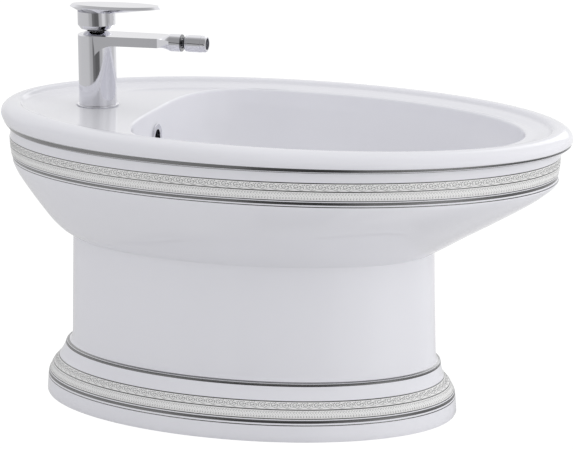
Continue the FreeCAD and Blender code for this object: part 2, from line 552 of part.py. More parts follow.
def trap():
    at = "waste_y"
    tail_top = f"({TUBE_Z}-tail_washer)"
    nut_z = f"({COLLAR_Z}-tail_nut_floor)"
    slip = "tail_radius+fit_gap"
    node("tail_washer_ring", turned("tail_washer_ring", [("waste_thread_radius", tail_top, TUBE_Z)],
                                    [("waste_bore", f"{tail_top}-overrun", f"{TUBE_Z}+overrun")], at))
    node("tail_piece", turned("tail_piece", [
        ("waste_thread_radius", COLLAR_Z, tail_top),
        ("tail_radius", "tail_bottom", tail_top),
    ], [("tail_radius-tail_wall", "tail_bottom-overrun", f"{tail_top}+overrun")], at))
    node("tail_nut_ring", turned("tail_nut_ring", [("tail_nut_radius", nut_z, f"{nut_z}+tail_nut")], [
        (slip, f"{nut_z}-overrun", f"{nut_z}+overrun"),
        ("waste_thread_radius+fit_gap", COLLAR_Z, f"{nut_z}+tail_nut+overrun"),
    ], at))
    neck_top = "(trap_head_top+trap_neck)"
    inlet_top = f"({neck_top}+slip_seal+nut_roof)"
    head = turned("trap_head_block", [
        ("trap_radius", "trap_head_bottom", "trap_head_top"),
        ("trap_neck_radius", "trap_head_top", neck_top),
    ], [], at)
    outlet_end = "(waste_y+trap_radius+outlet_neck)"
    neck = cylinder("outlet_neck_tube", "trap_neck_radius", "trap_radius+outlet_neck", "0", outlet_end,
                    "trap_outlet_z", FORWARD)
    inside = cylinder("trap_inside", "trap_radius-trap_wall",
                      "trap_head_top-trap_wall-trap_head_bottom+overrun", "0", at,
                      "trap_head_bottom-overrun")
    inlet = cylinder("trap_inlet_bore", slip, "trap_neck+overrun*2", "0", at, "trap_head_top-overrun")
    outlet = cylinder("trap_outlet_bore", slip, "trap_radius+outlet_neck+overrun", "0",
                      f"{outlet_end}+overrun", "trap_outlet_z", FORWARD)
    node("trap_head", cut("trap_head_bored", fuse("trap_head_solid", [head, neck]), inside, inlet, outlet))
    node("trap_inlet_seal", turned("trap_inlet_seal", [
        ("trap_neck_radius", neck_top, f"{neck_top}+slip_seal"),
    ], [(slip, f"{neck_top}-overrun", f"{neck_top}+overrun")], at))
    node("trap_inlet_nut", turned("trap_inlet_nut", [
        ("trap_nut_radius", f"{inlet_top}-inlet_nut", inlet_top),
    ], [
        (slip, f"{neck_top}-overrun", f"{inlet_top}+overrun"),
        ("trap_neck_radius+fit_gap", f"{neck_top}-overrun*2", f"{inlet_top}-nut_roof"),
    ], at))
    shoulder = "(trap_head_bottom-cup_seal)"
    node("trap_cup_seal", turned("trap_cup_seal", [("trap_radius", shoulder, "trap_head_bottom")], [
        ("trap_radius-trap_wall", f"{shoulder}-overrun", "trap_head_bottom+overrun"),
    ], at))
    node("trap_cup", turned("trap_cup", [
        ("trap_radius", "cup_bottom", "trap_head_bottom"),
        ("trap_radius+cup_skirt_wall", f"{shoulder}-cup_skirt*{SKIRT_UNDER_SHARE}",
         f"{shoulder}+cup_skirt*{1 - SKIRT_UNDER_SHARE}"),
    ], [
        ("trap_radius-trap_wall", "cup_bottom+trap_wall", f"{shoulder}+overrun"),
        ("trap_radius+fit_gap", shoulder, f"{shoulder}+cup_skirt"),
    ], at))

    # the outlet lies level, so its pieces run forward from where each one ends at the back
    pipe_start = f"({outlet_end}-outlet_insert)"
    seal_end = f"({outlet_end}+slip_seal)"
    node("outlet_pipe", turned("outlet_pipe", [
        ("tail_radius", "0", f"outlet_end_y-{pipe_start}"),
        ("outlet_bead_radius", "outlet_spigot", "outlet_spigot+outlet_bead"),
    ], [("tail_radius-tail_wall", "-overrun", "column_length")], "outlet_end_y", "trap_outlet_z"))
    node("trap_outlet_seal", turned("trap_outlet_seal", [("trap_neck_radius", "0", "slip_seal")],
                                    [(slip, "-overrun", "overrun")], seal_end, "trap_outlet_z"))
    node("trap_outlet_nut", turned("trap_outlet_nut", [("trap_nut_radius", "0", "outlet_nut")], [
        (slip, "-overrun", "overrun*2"),
        ("trap_neck_radius+fit_gap", "nut_roof", "outlet_nut+overrun"),
    ], f"({seal_end}+nut_roof)", "trap_outlet_z"))


BASE_Z = f"({PAD_Z}+base_ring)"
CEILING_Z = f"({BASE_Z}+body_cavity)"
SEAT_Z = "(cartridge_z-cartridge_seal)"


def mixer_body():
    at = "tap_y"
    bar_z = "(body_top-spout_thickness)"
    trunk = turned("mixer_trunk", [
        ("tap_radius", BASE_Z, "body_top-body_chamfer"),
        ("tap_radius", "body_top-body_chamfer", "body_top", "tap_radius-body_chamfer"),
    ], (), at)

    # the flat spout, flush with the sides of the trunk, and the arch under its root
    bar = doc.addObject("Part::Wedge", "spout_bar")
    bind(bar, Xmin="-spout_half_width", Xmax="spout_half_width", X2min="-tap_radius+spout_step",
         X2max="tap_radius-spout_step", Ymin="0", Ymax="spout_reach+spout_root")
    bind(bar, Zmin="0", Zmax="spout_thickness+web_radius", Z2min="0", Z2max="spout_thickness+web_radius")
    place(bar, "0", "tap_y-spout_reach", "body_top-spout_thickness-web_radius")
    under = box("spout_under", "tap_radius*3", "spout_reach", "web_radius+overrun", "-tap_radius*1.5",
                "tap_y-web_radius-spout_reach", f"{bar_z}-web_radius-overrun")
    arch = cylinder("spout_arch", "web_radius", "tap_radius*3", "-tap_radius*1.5", "tap_y-web_radius",
                    f"{bar_z}-web_radius", (90, 0, 90))
    spout = cut("spout_arched", bar, under, arch)

    # from the bar's square end to the round collar
    end_y = size("tap_y") - size("spout_reach")
    half = size("spout_half_width")
    top = size("body_top")
    low = top - size("spout_thickness")
    corners = [Vector(-half, end_y, low), Vector(half, end_y, low), Vector(half, end_y, top),
               Vector(-half, end_y, top)]
    square = doc.addObject("Part::Feature", "spout_end")
    square.Shape = Part.makePolygon(corners + corners[:1])
    rounds = []
    for name, reach in (("collar_root", "collar_start"), ("collar_front", "collar_end")):
        circle = bind(doc.addObject("Part::Circle", name), Radius="collar_radius")
        rounds.append(place(circle, "0", f"tap_y-{reach}", "collar_z", FORWARD))
    taper = loft("spout_taper", [square, rounds[0]])
    collar = turned("spout_collar", [("collar_radius", "collar_start", "collar_end")], (), at, "collar_z")
    body = fuse("mixer_solid", [trunk, spout, taper, collar])

    # cavities: cartridge bore, hose chamber, inlets, outlet, riser, spout waterway and ball socket
    bores = [
        cylinder("cartridge_bore", "cartridge_radius+fit_gap", f"cartridge_top-{SEAT_Z}", "0", at, SEAT_Z),
        cylinder("nut_bore_way", "nut_radius+fit_gap", "body_top-cartridge_top+overrun", "0", at,
                 "cartridge_top"),
        cylinder("body_chamber", "body_cavity_radius", "body_cavity+overrun", "0", at, f"{BASE_Z}-overrun"),
    ]
    for side, sign in (("left", "-"), ("right", "")):
        bores.append(cylinder(f"inlet_{side}", "inlet_radius", f"{SEAT_Z}-{CEILING_Z}+overrun*2",
                              f"{sign}inlet_offset", at, f"{CEILING_Z}-overrun"))
    for side, sign in (("front", "-"), ("rear", "+")):
        bores.append(cylinder(f"stud_hole_{side}", "stud_radius", "stud_in_body+overrun", "0",
                              f"tap_y{sign}stud_offset", f"{CEILING_Z}-overrun"))
    bores += [
        cylinder("outlet_well", "riser_radius", f"{SEAT_Z}-link_z+overrun", "0", "tap_y-outlet_reach",
                 "link_z"),
        cylinder("outlet_link", "riser_radius", "riser_reach-outlet_reach", "0", "tap_y-outlet_reach",
                 "link_z", FORWARD),
        cylinder("outlet_riser", "riser_radius", "collar_z-link_z", "0", "tap_y-riser_reach", "link_z"),
        cylinder("spout_way", "waterway_radius", "ball_reach-riser_reach", "0", "tap_y-riser_reach",
                 "collar_z", FORWARD),
        cylinder("ball_socket", "socket_radius", "collar_end-ball_reach+socket_behind+overrun", "0",
                 "tap_y-ball_reach+socket_behind", "collar_z", FORWARD),
    ]
    node("mixer_body", cut("mixer_bored", body, *bores))
    node("base_ring_trim", turned("base_ring_trim", [("base_ring_radius", PAD_Z, BASE_Z)], [
        ("base_ring_bore", f"{PAD_Z}-overrun", f"{BASE_Z}+overrun"),
        ("gasket_radius+fit_gap", f"{PAD_Z}-overrun", f"{PAD_Z}+base_gasket"),
    ], at))
    node("base_gasket_ring", turned("base_gasket_ring", [("gasket_radius", PAD_Z, f"{PAD_Z}+base_gasket")],
                                    [("base_ring_bore", f"{PAD_Z}-overrun", f"{BASE_Z}+overrun")], at))


def mixer_inside():
    at = "tap_y"
    holes = []
    for name, x, y in (("left", "-inlet_offset", at), ("right", "inlet_offset", at),
                       ("out", "0", "tap_y-outlet_reach")):
        holes.append(cylinder(f"seal_hole_{name}", "port_radius", "cartridge_seal+overrun*2", x, y,
                              f"{SEAT_Z}-overrun"))
    plate = turned("seal_plate", [("cartridge_radius", SEAT_Z, "cartridge_z")], (), at)
    node("cartridge_seal_plate", cut("seal_plate_holed", plate, *holes))
    well = "(pivot_z-turret_drop)"
    ports = []
    for name, x, y in (("left", "-inlet_offset", at), ("right", "inlet_offset", at),
                       ("out", "0", "tap_y-outlet_reach")):
        ports.append(cylinder(f"port_{name}", "port_radius", f"({well}-cartridge_z)/2+overrun", x, y,
                              "cartridge_z-overrun"))
    node("cartridge", cut("cartridge_ported", turned("cartridge_can", [
        ("cartridge_radius", "cartridge_z", "cartridge_top"),
    ], [("turret_radius+fit_gap", well, "cartridge_top+overrun")], at), *ports))
    node("cartridge_nut", turned("cartridge_nut", [("nut_radius", "cartridge_top", "nut_top")],
                                 [("nut_bore", "cartridge_top-overrun", "nut_top+overrun")], at))
    node("mixer_dome", turned("mixer_dome", [
        ("dome_radius", "body_top", "body_top+dome_rise", "dome_crown"),
        ("nut_radius", "nut_top", "body_top"),
    ], [("dome_opening", "nut_top-overrun", "body_top+dome_rise+overrun")], at))


def lever():
    at = "tap_y"
    base = "(pivot_z-turret_drop)"
    slot = box("turret_slot", "stem_side+running_gap*2", "turret_radius*3", "turret_top",
               "-stem_side/2-running_gap", "tap_y-turret_radius*1.5", f"{base}+turret_floor")
    pin_hole = cylinder("turret_pin_hole", "pin_radius", "turret_radius*3", "-turret_radius*1.5", at,
                        "pivot_z", (90, 0, 90))
    turret = turned("turret", [("turret_radius", f"{base}+running_gap", "turret_top")], (), at)
    node("lever_turret", cut("turret_slotted", turret, slot, pin_hole))
    node("tilt_pin", cylinder("tilt_pin_rod", "pin_radius", "pin_half*2", "-pin_half", at, "pivot_z",
                              (90, 0, 90)))
    bar = box("stem_bar", "stem_side", "stem_side", "stem_above+stem_below")
    lean_stem(bar, "stem_side", "stem_below")
    stem_hole = cylinder("stem_pin_hole", "pin_radius+fit_gap", "turret_radius*3", "-turret_radius*1.5", at,
                         "pivot_z", (90, 0, 90))
    node("lever_stem", cut("stem_bored", bar, stem_hole))

    hub = turned("lever_hub", [
        ("hub_tap_radius-hub_chamfer", "hub_bottom", "hub_bottom+hub_chamfer_height", "hub_tap_radius"),
        ("hub_tap_radius", "hub_bottom+hub_chamfer_height", "hub_top"),
    ], (), at)
    root = oval("plate_root", "tap_y-plate_root_reach", "hub_top", "plate_root_length", "plate_root_width")
    edge = oval("plate_rim", "tap_y-plate_reach", "hub_top+plate_edge", "plate_half_length",
                "plate_half_width")
    crown = oval("plate_crown", "tap_y-plate_reach", "hub_top+plate_edge+plate_top",
                 "plate_half_length-plate_top_inset", "plate_half_width-plate_top_inset")
    plate = loft("lever_plate", [root, edge, crown])
    socket = box("stem_socket", "stem_side+fit_gap*2", "stem_side+fit_gap*2", "stem_above+stem_below")
    lean_stem(socket, "(stem_side+fit_gap*2)", "(stem_below-fit_gap)")
    front = "(tap_y-hub_tap_radius)"
    screw_way = cylinder("screw_way", "screw_radius", "hub_tap_radius", "0", at, "screw_z", FORWARD)
    cap_way = cylinder("cap_way", "screw_cap_radius", "screw_cap+overrun", "0", f"{front}+screw_cap",
                       "screw_z", FORWARD)
    node("lever_handle", cut("handle_bored", fuse("handle_solid", [hub, plate]), socket, screw_way, cap_way))
    tip = "(tap_y-(screw_z-pivot_z+screw_radius)*tan(stem_lean)-stem_side/2/cos(stem_lean)-fit_gap)"
    node("lever_screw", cylinder("lever_screw_rod", "screw_radius", "screw_length", "0", tip, "screw_z",
                                 FORWARD))
    node("lever_screw_cap", cylinder("lever_cap_disc", "screw_cap_radius", "screw_cap", "0",
                                     f"{front}+screw_cap", "screw_z", FORWARD))


def lean_stem(bar, side, below):
    """Stand a square bar on the tilt pin, leaning forward by the stem's lean."""
    offset = f"{side}/2"
    y = f"tap_y-{offset}*cos(stem_lean)+{below}*sin(stem_lean)"
    z = f"pivot_z-{below}*cos(stem_lean)-{offset}*sin(stem_lean)"
    place(bar, f"-{offset}", y, z, (0, 0, "stem_lean"))


def nozzle():
    at = "(tap_y-ball_reach)"
    z = "collar_z"
    clear = ball("socket_clear", "ball_radius+running_gap", "0", at, z)
    front = "(collar_end-ball_reach)"
    node("ball_retainer", cut("retainer_hollowed", turned("retainer", [
        ("socket_radius-fit_gap", "retainer_ahead", front),
        ("collar_radius-running_gap", front, f"{front}+retainer_flange"),
    ], [("retainer_opening", "0", f"{front}+overrun")], at, z), clear))
    seat_back = "(-seat_front-seat_length)"
    node("ball_seat", cut("seat_hollowed", turned("ball_seat_ring", [
        ("socket_radius-fit_gap", f"{seat_back}", "-seat_front"),
    ], [("seat_bore", f"{seat_back}-overrun", "0")], at, z),
        ball("seat_clear", "ball_radius+running_gap", "0", at, z)))
    seal_back = "(seat_front-ball_seal_section)"
    ring_radius = f"sqrt((ball_radius+ball_seal_section+running_gap)^2-{seal_back}^2)"
    node("ball_seal_ring", ring("ball_seal_torus", ring_radius, "ball_seal_section", "0",
                                f"{at}+{seal_back}", z, FORWARD))
    core = fuse("ball_solid", [
        ball("ball_core", "ball_radius", "0", at, z),
        cylinder("ball_neck", "ball_neck_radius", "ball_neck_end", "0", at, z, FORWARD),
    ])
    node("nozzle_ball", cut("ball_bored", core, cylinder("ball_way", "ball_bore",
                                                         "ball_neck_end+ball_radius+overrun*2", "0",
                                                         f"{at}+ball_radius+overrun", z, FORWARD)))
    node("nozzle_shell", turned("nozzle_shell", [
        ("shell_root_radius", "shell_start", "shell_collar_start", "shell_collar_radius"),
        ("shell_collar_radius", "shell_collar_start", "shell_groove"),
        ("shell_groove_radius", "shell_groove", "shell_groove+shell_groove_width"),
        ("shell_radius", "shell_groove+shell_groove_width", "shell_end"),
    ], [
        ("ball_neck_radius", "shell_start-overrun", "ball_neck_end"),
        ("waterway_radius", "ball_neck_end-overrun", "pocket_start+overrun"),
        ("pocket_radius", "pocket_start", "shell_end+overrun"),
    ], at, z))
    node("aerator_seal", turned("aerator_seal", [
        ("pocket_radius-fit_gap", "pocket_start", "pocket_start+aerator_washer"),
    ], [("aerator_washer_bore", "pocket_start-overrun", "pocket_start+overrun")], at, z))
    body = turned("aerator_block", [("pocket_radius-fit_gap", "pocket_start+aerator_washer",
                                     "pocket_start+aerator_washer+aerator_length")], (), at, z)
    holes = [cylinder("aerator_hole_middle", "aerator_hole_radius", "aerator_length+overrun*2", "0",
                      f"{at}-pocket_start-aerator_washer+overrun", z, FORWARD)]
    for step in range(AERATOR_HOLES):
        turn = 360 * step / AERATOR_HOLES
        holes.append(cylinder(f"aerator_hole_{step}", "aerator_hole_radius", "aerator_length+overrun*2",
                              f"aerator_hole_circle*cos({turn})",
                              f"{at}-pocket_start-aerator_washer+overrun",
                              f"collar_z+aerator_hole_circle*sin({turn})", FORWARD))
    node("aerator_insert", cut("aerator_holed", body, *holes))
    node("nozzle_end_ring", turned("nozzle_end_ring", [
        ("end_ring_radius", "shell_end", "nozzle_end-end_ring_step"),
        ("end_ring_radius", "nozzle_end-end_ring_step", "nozzle_end", "end_ring_radius-end_ring_step/2"),
    ], [
        ("pocket_radius", "shell_end-overrun", "pocket_start+aerator_washer+aerator_length"),
        ("end_ring_opening", "shell_end-overrun", "nozzle_end+overrun"),
    ], at, z))


def mixer_fixings():
    at = "tap_y"
    washer_z = f"({UNDER_Z}-deck_washer)"
    plate_z = f"({washer_z}-clamp_plate)"
    nut_z = f"({plate_z}-stud_nut)"
    end_z = f"({nut_z}-stud_spare)"
    node("deck_washer_ring", turned("deck_washer_ring", [("clamp_radius", washer_z, UNDER_Z)],
                                    [("deck_washer_bore", f"{washer_z}-overrun", f"{UNDER_Z}+overrun")], at))
    cuts = [box("clamp_window", "clamp_slot_length", "clamp_slot", "clamp_plate+overrun*2",
                "-clamp_slot_length/2", "tap_y-clamp_slot/2", f"{plate_z}-overrun")]
    for side, sign in (("front", "-"), ("rear", "+")):
        y = f"tap_y{sign}stud_offset"
        cuts.append(cylinder(f"clamp_hole_{side}", "stud_radius+fit_gap", "clamp_plate+overrun*2", "0", y,
                             f"{plate_z}-overrun"))
        node(f"stud_{side}", cylinder(f"stud_rod_{side}", "stud_radius",
                                      f"{CEILING_Z}+stud_in_body-{end_z}", "0", y, end_z))
        node(f"stud_nut_{side}", cut(f"stud_nut_bored_{side}",
                                     hexagon(f"stud_nut_block_{side}", "stud_nut_radius", "stud_nut", "0", y,
                                             nut_z),
                                     cylinder(f"stud_nut_bore_{side}", "stud_radius+fit_gap",
                                              "stud_nut+overrun*2", "0", y, f"{nut_z}-overrun")))
    node("clamp_plate_steel", cut("clamp_plate_cut",
                                  turned("clamp_disc", [("clamp_radius", plate_z, washer_z)], (), at), *cuts))


china()
overflow_fitting()
waste_fitting()
trap()
mixer_body()
mixer_inside()
lever()
nozzle()
mixer_fixings()
doc.recompute()

problems = [thing.Name for thing in doc.Objects if "Invalid" in thing.State or "Error" in thing.State]
os.makedirs("parts", exist_ok=True)
for name, feature in NODES.items():
    shape = feature.Shape
    if shape.isNull() or not shape.isValid() or len(shape.Solids) != 1:
        problems.append(name)
        continue
    shape.exportStep(f"parts/{name}.step")
    box_now = shape.BoundBox
    print(name, round(shape.Volume), [round(v, 1) for v in (box_now.XMin, box_now.XMax, box_now.YMin,
                                                            box_now.YMax, box_now.ZMin, box_now.ZMax)])
if problems:
    raise SystemExit(f"not sound: {problems}")
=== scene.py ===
import json
import math

import bmesh
import bpy
import numpy as np
from mathutils import Matrix, Vector


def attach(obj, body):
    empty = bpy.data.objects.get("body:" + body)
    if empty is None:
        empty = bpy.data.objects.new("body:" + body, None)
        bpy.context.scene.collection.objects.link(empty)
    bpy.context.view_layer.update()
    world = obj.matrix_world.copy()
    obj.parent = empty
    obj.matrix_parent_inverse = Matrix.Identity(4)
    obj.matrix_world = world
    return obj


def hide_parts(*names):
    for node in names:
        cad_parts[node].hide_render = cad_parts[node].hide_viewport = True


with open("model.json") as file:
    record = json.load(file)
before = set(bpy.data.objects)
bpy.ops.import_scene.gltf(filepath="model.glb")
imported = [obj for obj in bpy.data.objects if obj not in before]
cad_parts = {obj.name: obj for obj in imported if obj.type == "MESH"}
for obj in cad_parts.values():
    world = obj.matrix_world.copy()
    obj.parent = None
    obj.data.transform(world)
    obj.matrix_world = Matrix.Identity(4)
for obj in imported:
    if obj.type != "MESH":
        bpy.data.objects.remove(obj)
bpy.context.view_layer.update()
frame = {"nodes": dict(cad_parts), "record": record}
nodes = frame["nodes"]
print("frame loaded", len(nodes))

mm = 0.001  # sizes are in millimetres unless a note says otherwise


# The china's sizes: heights count from the floor, and a shift runs back from the rim's middle

china = {
    "rimLength": 680, "rimWidth": 435, "rimHeight": 354, "leanDegrees": 1.07, "crestInset": 18,
    "lipDrop": 12.6, "deckDrop": 9, "basinFront": 285, "basinRear": 154.5, "basinHalfWidth": 170.5,
    "basinDepth": 162, "edgeRound": 3, "floorRadius": 35, "wasteY": 40, "wall": 12, "segments": 320,
    "cutSides": 72, "seamDegrees": 32,
}
footRing = {"halfLength": 252.8, "halfWidth": 153.3, "shift": 40.5, "ledgeShift": 38, "slopeStart": 44.7,
            "slopeHeight": 17.9}
columnRing = {"halfLength": 220.5, "halfWidth": 121.0, "shift": 37.0, "top": 197.5, "root": 74.6,
              "taper": 3.4}
bandRing = {"bottom": 293.7, "shift": 2.0, "inset": 14.5, "lineShift": -3.5}
bulges = {"front": 16, "rear": 12, "side": 7}  # how far the underside swells past a straight cone
wasteHole = {"seat": 29, "bore": 23, "boss": 37, "bossHeight": 36, "floorWall": 12.3}
hollow = {  # its roof rises under the deck, from archStart on; archDepth is a share of the basin's depth
    "roof": 334.6, "roofInset": 23.4, "bandInset": 32.5, "bowlInset": 18, "footInset": 26, "footTop": 24.5,
    "archStart": 122, "archLength": 40, "archDepth": 0.2, "backTop": 341, "backHeight": 161, "steps": 14,
    "bowlFrom": 2, "bowlBelow": 4, "bowlEvery": 3,
}
cuts = {  # radius, start, direction, length, and how far the round is stretched upwards
    "cut_slot": (21, (0, 270, 87), (0, -1, 0), 55, 60),
    "cut_tap": (17.5, (0, 227, 325), (0, 0, 1), 30, 0),
    "cut_pad": (26, (0, 227, 348.6), (0, 0, 1), 10, 0),
    "cut_overflow": (12.7, (0, 176, 314), (0, -1, 0), 32, 0),
    "cut_ring_pad": (16.5, (0, 154.6, 314), (0, -1, 0), 8, 0),
}

# height and inset of the foot's ovals, then height, shift, half length and half width of the column's root
footRows = ((0, 2.5), (0.6, 0.9), (2.5, 0), (9, 0.35), (17, 1.05), (24.5, 2.0), (27.5, 2.9), (31, 4.7),
            (34, 6.2), (37, 8.0), (39, 9.7), (41.8, 12.4), (44.7, 15.0), (47.5, 16.6), (51, 18.4),
            (56, 20.3), (60.5, 21.5), (62.6, 22.0), (63.5, 22.7), (64.1, 24.4))
rootRows = ((64.6, 37.7, 226.9, 127.0), (65.3, 37.4, 226.0, 125.5), (66.4, 37.1, 225.4, 124.2),
            (68.4, 37, 224.9, 123.3), (74.6, 37, 223.9, 122.7))
columnHeights = (100, 130, 165, 190, 197.3)
# share of the way up the underside, and the shares of the three bulges there
bowlShares = ((0, 0, 0, 0), (0.08, 0.15, 0.7, 0.25), (0.25, 0.35, 1, 0.7), (0.5, 0.75, 0.95, 1),
              (0.75, 1, 0.8, 0.9), (0.92, 0.75, 0.45, 0.5), (1, 0, 0, 0))
bowlSteps = (0.002, 0.02, 0.045, *np.linspace(0.08, 0.9, 20), 0.94, 0.97, 0.992)
# height and inset of the band and the cove over it, then of the lip with its share of the rim's lean
bandRows = ((293.9, 13.9), (295.5, 13.4), (298, 12.8), (303, 12.1), (307.7, 11.7), (312, 11.5), (317, 11.4),
            (322, 10.9), (326, 10.2), (328, 9.2), (329.3, 7.4), (329.9, 5.6), (330.4, 4.9))
lipRows = ((331.2, 4.6, 0.05), (333, 3.7, 0.1), (335, 2.3, 0.3), (337.8, 0.8, 0.6), (341.4, 0, 0.8))
# how both are shifted, by height
shiftRows = ((317, bandRing["shift"]), (326, -0.75), (330.4, bandRing["lineShift"]), (335, -1.05),
             (341.4, 0))
# the heights between which the bands have their own glaze, each one a row above
bandEnds = {"footBand": 27.5, "footBandEnd": 44.7, "rimBand": 298, "rimBandEnd": 317}
# inset and fall of the rim's inner slope, from the crest to the recessed deck
fallRows = ((20, 0.25), (22, 0.95), (23.5, 2.0), (24.6, 3.3), (25.5, 4.4), (26.6, 5.2), (28, 5.7),
            (30, 6.0), (34, 6.8), (39, 7.9), (43, 9.0))
crestSteps, edgeSteps = 14, 6  # rings up to the rim's crest, and round the edge of the mouth
deckShares = (0.35, 0.7, 0.93, 0.985)  # of the way from the slope's foot to the mouth
# the basin by share of its depth: how far its sides and its rear still spread, and how square the rear is
depthShares = (0, 0.03, 0.25, 0.5, 0.7, 0.86, 0.955, 1)
spreadShares = (1, 1, 0.965, 0.87, 0.72, 0.5, 0.25, 0)
rearShares = (1, 1, 0.99, 0.93, 0.8, 0.57, 0.28, 0)
squareness = (3.6, 3.6, 3.4, 3, 2.6, 2.3, 2.1, 2)
basinSteps = (*np.linspace(0.02, 0.6, 16), *np.linspace(0.64, 1, 20))

angles = np.linspace(0, 2 * math.pi, china["segments"], endpoint=False)
rimHalfLength, rimHalfWidth = china["rimLength"] / 2, china["rimWidth"] / 2
leanSlope = math.radians(china["leanDegrees"])


# Rings of the china

def blend(start, end, share):
    return start + (end - start) * share


def smoothCurve(xs, ys, at):
    xs, ys, at = np.asarray(xs, float), np.asarray(ys, float), np.asarray(at, float)
    gap = np.diff(xs)
    slope = np.diff(ys) / gap
    tangent = np.zeros(len(xs))  # monotone: flat wherever the curve turns
    for i in range(1, len(xs) - 1):
        if slope[i - 1] * slope[i] > 0:
            before, after = 2 * gap[i] + gap[i - 1], gap[i] + 2 * gap[i - 1]
            tangent[i] = (before + after) / (before / slope[i - 1] + after / slope[i])
    tangent[0], tangent[-1] = slope[0], slope[-1]
    k = np.clip(np.searchsorted(xs, at) - 1, 0, len(xs) - 2)
    t = (at - xs[k]) / gap[k]
    return ((2 * t ** 3 - 3 * t ** 2 + 1) * ys[k] + (t ** 3 - 2 * t ** 2 + t) * gap[k] * tangent[k]
            + (3 * t ** 2 - 2 * t ** 3) * ys[k + 1] + (t ** 3 - t ** 2) * gap[k] * tangent[k + 1])


def outerTable():
    rows = []  # height, shift, half length, half width and lean share, up to the lip's widest
    for z, inset in footRows:
        back = min(1, max(0, (z - footRing["slopeStart"]) / footRing["slopeHeight"]))
        rows.append((z, blend(footRing["shift"], footRing["ledgeShift"], back),
                     footRing["halfLength"] - inset, footRing["halfWidth"] - inset, 0))
    rows += [(*row, 0) for row in rootRows]
    for z in columnHeights:
        flare = columnRing["taper"] * (columnRing["top"] - z) / (columnRing["top"] - columnRing["root"])
        rows.append((z, columnRing["shift"], columnRing["halfLength"] + flare,
                     columnRing["halfWidth"] + flare / 2, 0))
    bandHalfLength, bandHalfWidth = rimHalfLength - bandRing["inset"], rimHalfWidth - bandRing["inset"]
    heights, *shares = zip(*bowlShares)
    for up in bowlSteps:
        front, rear, side = (float(smoothCurve(heights, share, up)) * bulges[name]
                             for name, share in zip(("front", "rear", "side"), shares))
        rows.append((blend(columnRing["top"], bandRing["bottom"], up),
                     blend(columnRing["shift"], bandRing["shift"], up) + (rear - front) / 2,
                     blend(columnRing["halfLength"], bandHalfLength, up) + (rear + front) / 2,
                     blend(columnRing["halfWidth"], bandHalfWidth, up) + side, 0))
    shiftHeights, shifts = zip(*shiftRows)
    for z, inset, *lean in bandRows + lipRows:
        rows.append((z, np.interp(z, shiftHeights, shifts), rimHalfLength - inset, rimHalfWidth - inset,
                     *(lean or (0,))))
    return np.array(rows, float)


outer = outerTable()


def oval(z, shift, a, b, lean=0.0):
    y = shift + a * np.sin(angles)
    return np.stack([b * np.cos(angles), y, z + lean * leanSlope * y], 1) * mm


def outerRing(z):
    return oval(z, *(np.interp(z, outer[:, 0], outer[:, k]) for k in range(1, 5)))


def basinRing(depth, grow=0.0, lift=0.0):
    depth = np.broadcast_to(np.asarray(depth, float), angles.shape)
    spread, rear, power = (smoothCurve(depthShares, shares, depth)
                           for shares in (spreadShares, rearShares, squareness))
    floor, waste = china["floorRadius"], china["wasteY"]
    middle = waste * (1 - spread)
    front = middle - waste + blend(floor, china["basinFront"] + waste, spread) + grow
    back = waste + blend(floor, china["basinRear"] - waste, rear) - middle + grow
    side = blend(floor, china["basinHalfWidth"], spread) + grow
    top = china["rimHeight"] - china["deckDrop"] - china["edgeRound"]
    fall = top - china["rimHeight"] + china["basinDepth"] + grow * (grow >= china["wall"])
    east, north = np.cos(angles), np.sin(angles)
    bent = 2 / power  # an ellipse in front, a squarer half towards the deck
    x = np.where(north <= 0, side * east, side * np.sign(east) * np.abs(east) ** bent)
    y = np.where(north <= 0, middle + front * north, middle + back * np.abs(north) ** bent)
    return np.stack([x, y, top - fall * depth + lift + y * leanSlope * (1 - depth)], 1) * mm


def circle(radius, z):
    return np.stack([radius * np.cos(angles), china["wasteY"] + radius * np.sin(angles),
                     np.full(len(angles), z)], 1) * mm


def skinRings():
    rings, marks = [], {}  # marks: the first ring of each stretch that has its own glaze
    for row in outer:
        for name, z in bandEnds.items():
            if math.isclose(row[0], z):
                marks[name] = len(rings)
        rings.append(oval(*row))
    for step in range(1, crestSteps + 1):
        turn = step / crestSteps * math.pi / 2
        inset = china["crestInset"] * (1 - math.cos(turn))
        rings.append(oval(china["rimHeight"] - china["lipDrop"] * (1 - math.sin(turn)), 0,
                          rimHalfLength - inset, rimHalfWidth - inset,
                          blend(lipRows[-1][2], 1, step / crestSteps)))
    for inset, fall in fallRows:
        rings.append(oval(china["rimHeight"] - fall, 0, rimHalfLength - inset, rimHalfWidth - inset, 1))
    return rings, marks


def basinRings(deckRim):  # the deck, the mouth's round edge, the basin and the waste hole through its boss
    edge = china["edgeRound"]
    mouth = basinRing(0, edge, edge)
    rings = [blend(deckRim, mouth, share) for share in deckShares]
    for step in range(edgeSteps + 1):
        turn = step / edgeSteps * math.pi / 2
        rings.append(basinRing(0, edge * (1 - math.sin(turn)), edge * math.cos(turn)))
    rings += [basinRing(depth) for depth in basinSteps]
    floorZ = china["rimHeight"] - china["basinDepth"]
    bossZ = floorZ - wasteHole["bossHeight"]
    for part, z in (("seat", floorZ), ("bore", floorZ), ("bore", bossZ), ("boss", bossZ),
                    ("boss", floorZ - wasteHole["floorWall"])):
        rings.append(circle(wasteHole[part], z))
    return rings


